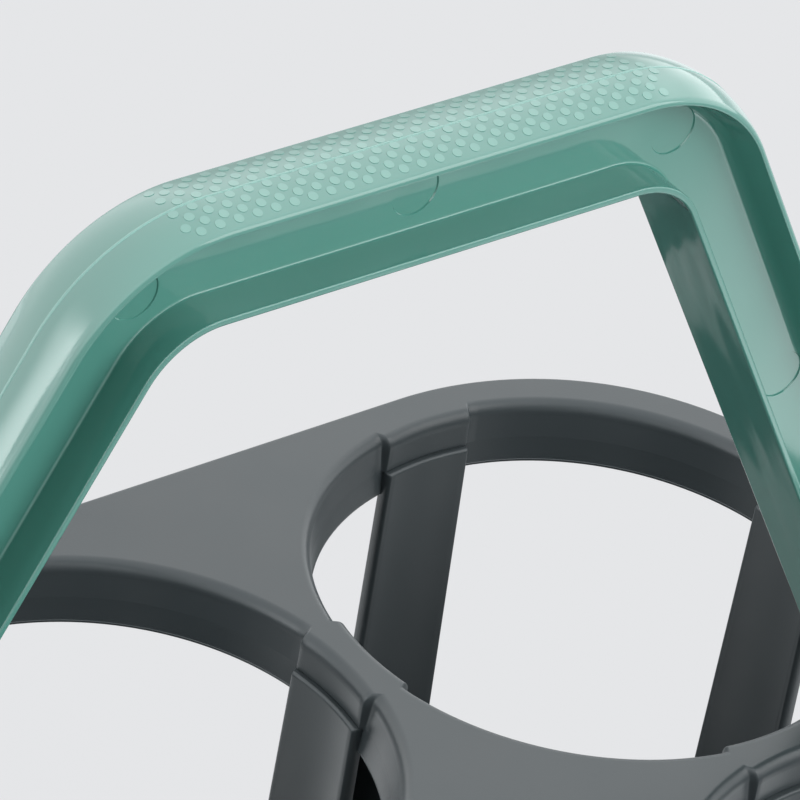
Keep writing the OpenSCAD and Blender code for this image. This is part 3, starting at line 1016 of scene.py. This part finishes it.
# Studio
studio = {
    "paper": (0.783, 0.791, 0.807, 1), "paperGain": 1.05,  # background and floor as the camera sees them
    "shade": 0.08,  # share of the floor's look that is real light and shadow
    "floorColour": (0.25, 0.253, 0.257, 1), "floorSize": 10,
    "diffuse": 0.41, "lampsAim": (0, 0, 0.25),
    "wallColour": (0.97, 0.99, 1, 1), "wallGloss": (1.15, 3.65), "wallTowards": (-0.35, 0.3, 0.89),
    "wallSpan": (0.1, 0.5),
    "windowLeft": (-0.45, -0.7), "windowHeight": (0.35, 0.65), "windowEdge": (0.15, 0.989, 0),
    "windowFrom": -0.04, "windowSoft": 0.01, "windowWidth": 0.42, "windowGloss": 6,
    "rightSpan": (0.6, 0.85), "rightGloss": 2,
    # the floor's glow in glossy rays is painted light, a painted reflection that rises with distance, and no
    # lamp
    "paintedReflectionColour": (0.97, 1, 1.02, 1), "paintedReflectionGlow": (0.6, 1.2), "paintedReflectionSpan": (0.45, 1.1),
}
# what the glossy parts mirror of the paper, a painted reflection that only glossy rays see: pools of painted
# light with a middle, inner and outer radius, and extra light; the first pool, with negative light, is a
# painted shadow round the object
paintedLightPools = (
    ((0, 0, 0), 0.24, 0.34, -0.4),
    ((0.34, -0.20, 0), 0.05, 0.24, 2.3),
    ((-0.14, 0.25, 0), 0.06, 0.26, 2.1),
    ((0.2, 0.26, 0), 0.03, 0.12, 0.5),
    ((1.0, 0.8, 0), 0.3, 1.0, 0.3),
    ((-3, 8, 0), 2, 6.5, 2.3),
    ((-1.2, 2.4, 0), 0.6, 2.2, 2.3),
)
lamps = {
    "topSoftbox": {"from": (0.3, 0.45, 0.85), "far": 1.6, "size": (1.4, 1.2), "glow": 1.1, "gloss": False},
    "frontFill": {"from": (0.25, -0.85, 0.42), "far": 1.7, "size": (1.3, 1.2), "glow": 3.0, "gloss": False},
    "leftFill": {"from": (-0.9, 0.15, 0.35), "far": 1.7, "size": (1.2, 1.2), "glow": 2.5, "gloss": False},
    "frontKey": {"from": (0.55, -0.63, 0.55), "far": 1.7, "size": (1.0, 0.9), "glow": 4, "gloss": True},
}


def addNodes(tree, *kinds):
    return [tree.nodes.new(kind) for kind in kinds]


def ramp(tree, value, span, reach):
    node = tree.nodes.new("ShaderNodeMapRange")
    node.interpolation_type = "SMOOTHSTEP"
    node.inputs["From Min"].default_value, node.inputs["From Max"].default_value = span
    node.inputs["To Min"].default_value, node.inputs["To Max"].default_value = reach
    tree.links.new(value, node.inputs["Value"])
    return node.outputs["Result"]


def towards(tree, place, direction):
    node = tree.nodes.new("ShaderNodeVectorMath")
    node.operation = "DOT_PRODUCT"
    node.inputs[1].default_value = direction
    tree.links.new(place, node.inputs[0])
    return node.outputs["Value"]


def paperFloor():
    work = bmesh.new()
    bmesh.ops.create_grid(work, x_segments=24, y_segments=24, size=studio["floorSize"])
    mesh = bpy.data.meshes.new("paper_floor")
    work.to_mesh(mesh)
    work.free()
    floor = bpy.data.objects.new("paper_floor", mesh)
    bpy.context.scene.collection.objects.link(floor)
    material = bpy.data.materials.new("paper")
    material.use_nodes = True
    tree = material.node_tree
    link = tree.links.new
    shader, output = tree.nodes["Principled BSDF"], tree.nodes["Material Output"]
    shader.inputs["Base Color"].default_value = studio["floorColour"]
    shader.inputs["Roughness"].default_value = 0.8
    seen, paintedReflection, path, place, first, second = addNodes(
        tree, "ShaderNodeEmission", "ShaderNodeEmission", "ShaderNodeLightPath", "ShaderNodeTexCoord",
        "ShaderNodeMixShader", "ShaderNodeMixShader")
    seen.inputs["Color"].default_value = [c * studio["paperGain"] for c in studio["paper"][:3]] + [1]
    # glossy rays see the floor as painted light: a painted reflection with pools of light and a painted
    # shadow near the object
    paintedReflection.inputs["Color"].default_value = studio["paintedReflectionColour"]
    light = None
    for middle, inner, outer, glow in paintedLightPools:
        away = tree.nodes.new("ShaderNodeVectorMath")
        away.operation = "DISTANCE"
        away.inputs[1].default_value = middle
        link(place.outputs["Object"], away.inputs[0])
        if light is None:
            light = ramp(tree, away.outputs["Value"], studio["paintedReflectionSpan"], studio["paintedReflectionGlow"])
        light = maths(tree, "ADD", light, ramp(tree, away.outputs["Value"], (inner, outer), (glow, 0)))
    link(light, paintedReflection.inputs["Strength"])
    link(path.outputs["Is Glossy Ray"], first.inputs["Fac"])
    link(shader.outputs["BSDF"], first.inputs[1])
    link(paintedReflection.outputs["Emission"], first.inputs[2])
    link(maths(tree, "MULTIPLY", path.outputs["Is Camera Ray"], 1 - studio["shade"]), second.inputs["Fac"])
    link(first.outputs["Shader"], second.inputs[1])
    link(seen.outputs["Emission"], second.inputs[2])
    link(second.outputs["Shader"], output.inputs["Surface"])
    mesh.materials.append(material)


def softWorld():
    world = bpy.data.worlds.new("studio")
    bpy.context.scene.world = world
    world.use_nodes = True
    tree = world.node_tree
    tree.nodes.clear()
    link = tree.links.new
    output, paper, soft, wall, path, place, parts, first, second = addNodes(
        tree, "ShaderNodeOutputWorld", "ShaderNodeBackground", "ShaderNodeBackground", "ShaderNodeBackground",
        "ShaderNodeLightPath", "ShaderNodeTexCoord", "ShaderNodeSeparateXYZ",
        "ShaderNodeMixShader", "ShaderNodeMixShader")
    paper.inputs["Color"].default_value = studio["paper"]
    paper.inputs["Strength"].default_value = 1
    soft.inputs["Color"].default_value = (1, 1, 1, 1)
    soft.inputs["Strength"].default_value = studio["diffuse"]
    wall.inputs["Color"].default_value = studio["wallColour"]
    # what glossy surfaces mirror: a bright back wall and ceiling, and a window with a sharp edge on the left
    ray = place.outputs["Generated"]
    link(ray, parts.inputs[0])
    back = towards(tree, ray, Vector(studio["wallTowards"]).normalized())
    bright = ramp(tree, back, studio["wallSpan"], studio["wallGloss"])
    across = towards(tree, ray, studio["windowEdge"])
    start, softEdge = studio["windowFrom"], studio["windowSoft"]
    left = ramp(tree, parts.outputs["X"], studio["windowLeft"], (0, 1))
    inside = ramp(tree, across, (start - softEdge, start + softEdge), (0, 1))
    fading = ramp(tree, across, (start, start + studio["windowWidth"]), (studio["windowGloss"], 0))
    lower = ramp(tree, parts.outputs["Z"], studio["windowHeight"], (1, 0))
    window = maths(tree, "MULTIPLY", maths(tree, "MULTIPLY", left, inside),
                   maths(tree, "MULTIPLY", fading, lower))
    right = ramp(tree, parts.outputs["X"], studio["rightSpan"], (0, studio["rightGloss"]))
    link(maths(tree, "ADD", maths(tree, "ADD", bright, right), window), wall.inputs["Strength"])
    link(path.outputs["Is Glossy Ray"], first.inputs["Fac"])
    link(soft.outputs[0], first.inputs[1])
    link(wall.outputs[0], first.inputs[2])
    link(path.outputs["Is Camera Ray"], second.inputs["Fac"])
    link(first.outputs[0], second.inputs[1])
    link(paper.outputs[0], second.inputs[2])
    link(second.outputs[0], output.inputs["Surface"])


def addLamps():
    middle = Vector(studio["lampsAim"])
    for name, lamp in lamps.items():
        data = bpy.data.lights.new(name, "AREA")
        data.shape = "RECTANGLE"
        data.size, data.size_y = lamp["size"]
        data.energy = lamp["glow"] * pi * data.size * data.size_y
        light = bpy.data.objects.new(name, data)
        light.location = middle + Vector(lamp["from"]).normalized() * lamp["far"]
        light.rotation_euler = (middle - light.location).to_track_quat("-Z", "Y").to_euler()
        light.visible_camera = False
        light.visible_glossy = lamp["gloss"]
        bpy.context.scene.collection.objects.link(light)


paperFloor()
softWorld()
addLamps()
bpy.context.scene.view_settings.view_transform = "Standard"

print("scene ready")
